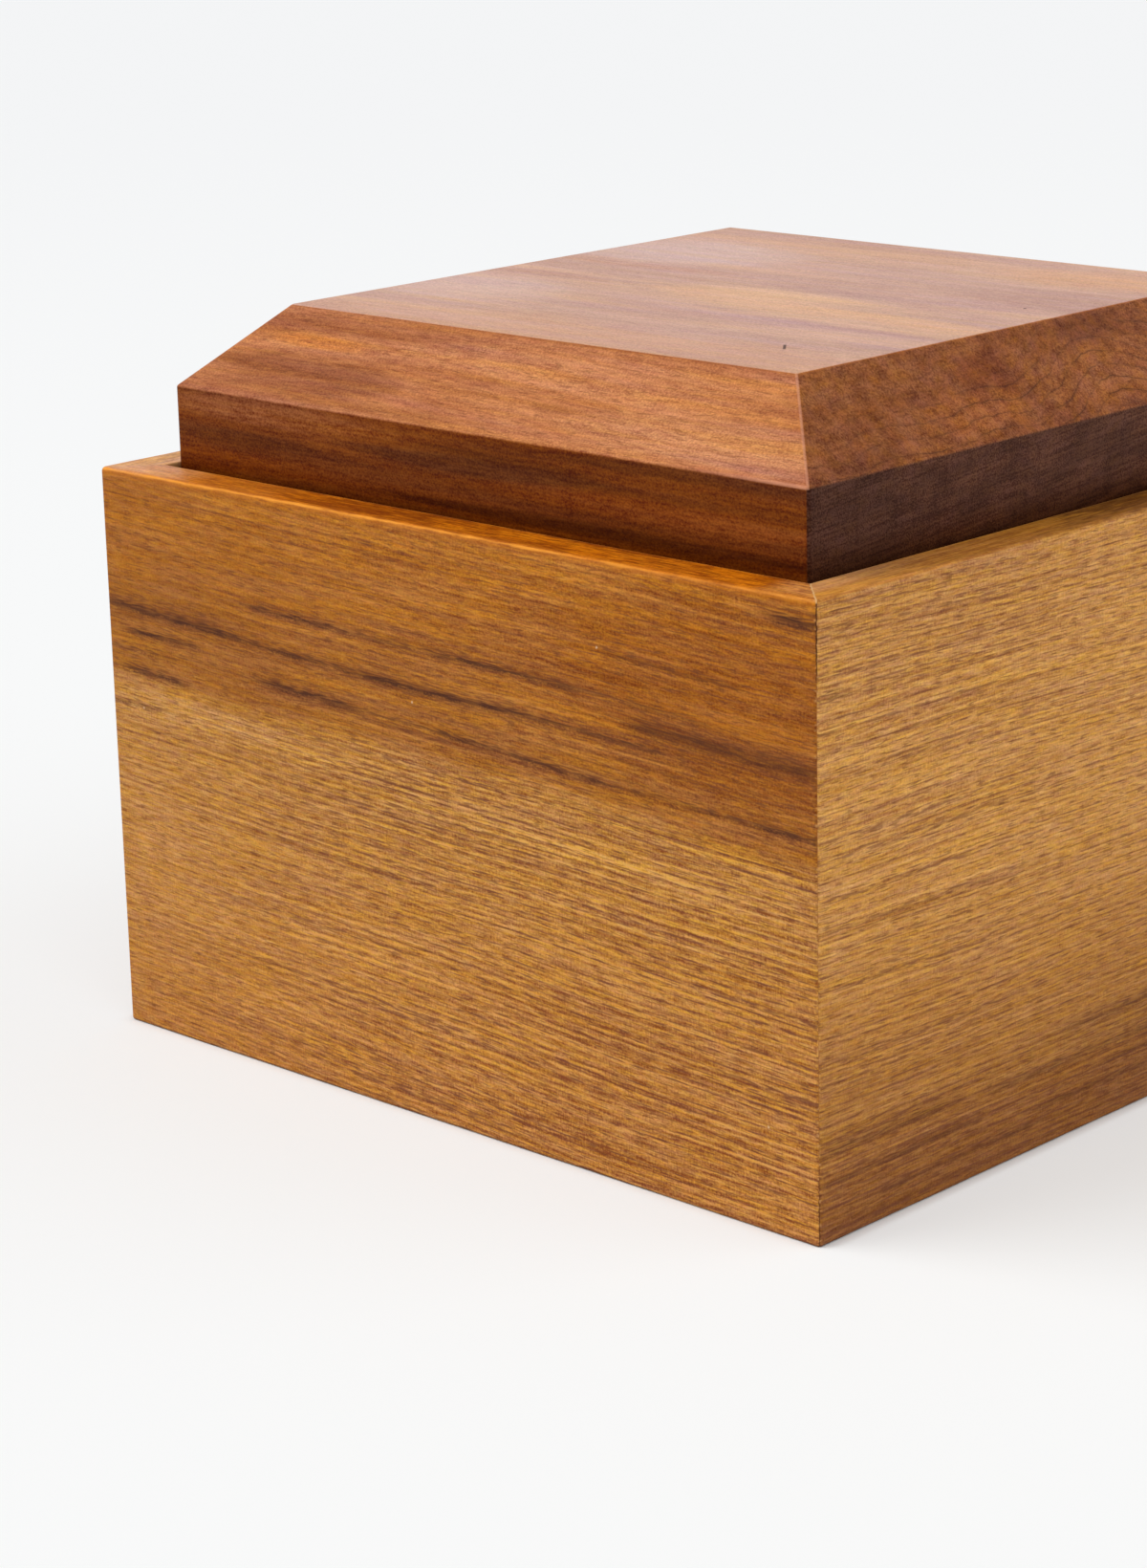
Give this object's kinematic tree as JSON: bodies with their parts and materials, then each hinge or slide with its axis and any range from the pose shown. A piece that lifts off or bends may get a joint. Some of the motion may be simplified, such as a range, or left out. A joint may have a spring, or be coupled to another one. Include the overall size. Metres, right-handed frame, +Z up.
{
  "type": "keepsake box",
  "caption": "Square wooden keepsake box with mitred walls and a thick solid lid, bevelled on every side, that drops inside the rim and lifts straight off.",
  "frame": {"origin": "on the table, under the middle of the box", "axes": "+Z up, the way the lid lifts; X along the front and back walls; the front faces -Y"},
  "size_m": [0.16, 0.16, 0.127],
  "materials": {
    "wall_timber": "oiled, satin",
    "lid_timber": "oiled, satin",
    "inner_timber": "bare, sanded"
  },
  "bodies": {
    "box": {"front_wall": "wall_timber", "right_wall": "wall_timber", "back_wall": "wall_timber", "left_wall": "wall_timber", "base_panel": "inner_timber", "front_lid_rest": "inner_timber", "right_lid_rest": "inner_timber", "back_lid_rest": "inner_timber", "left_lid_rest": "inner_timber", "front_right_spline": "inner_timber", "back_right_spline": "inner_timber", "back_left_spline": "inner_timber", "front_left_spline": "inner_timber"},
    "lid": {"lid_board": "lid_timber"}
  },
  "joints": [
    {"name": "lid_lift", "type": "slide", "parent": "box", "child": "lid", "axis": [0, 0, 1], "range_m": [0, 0.15]}
  ]
}
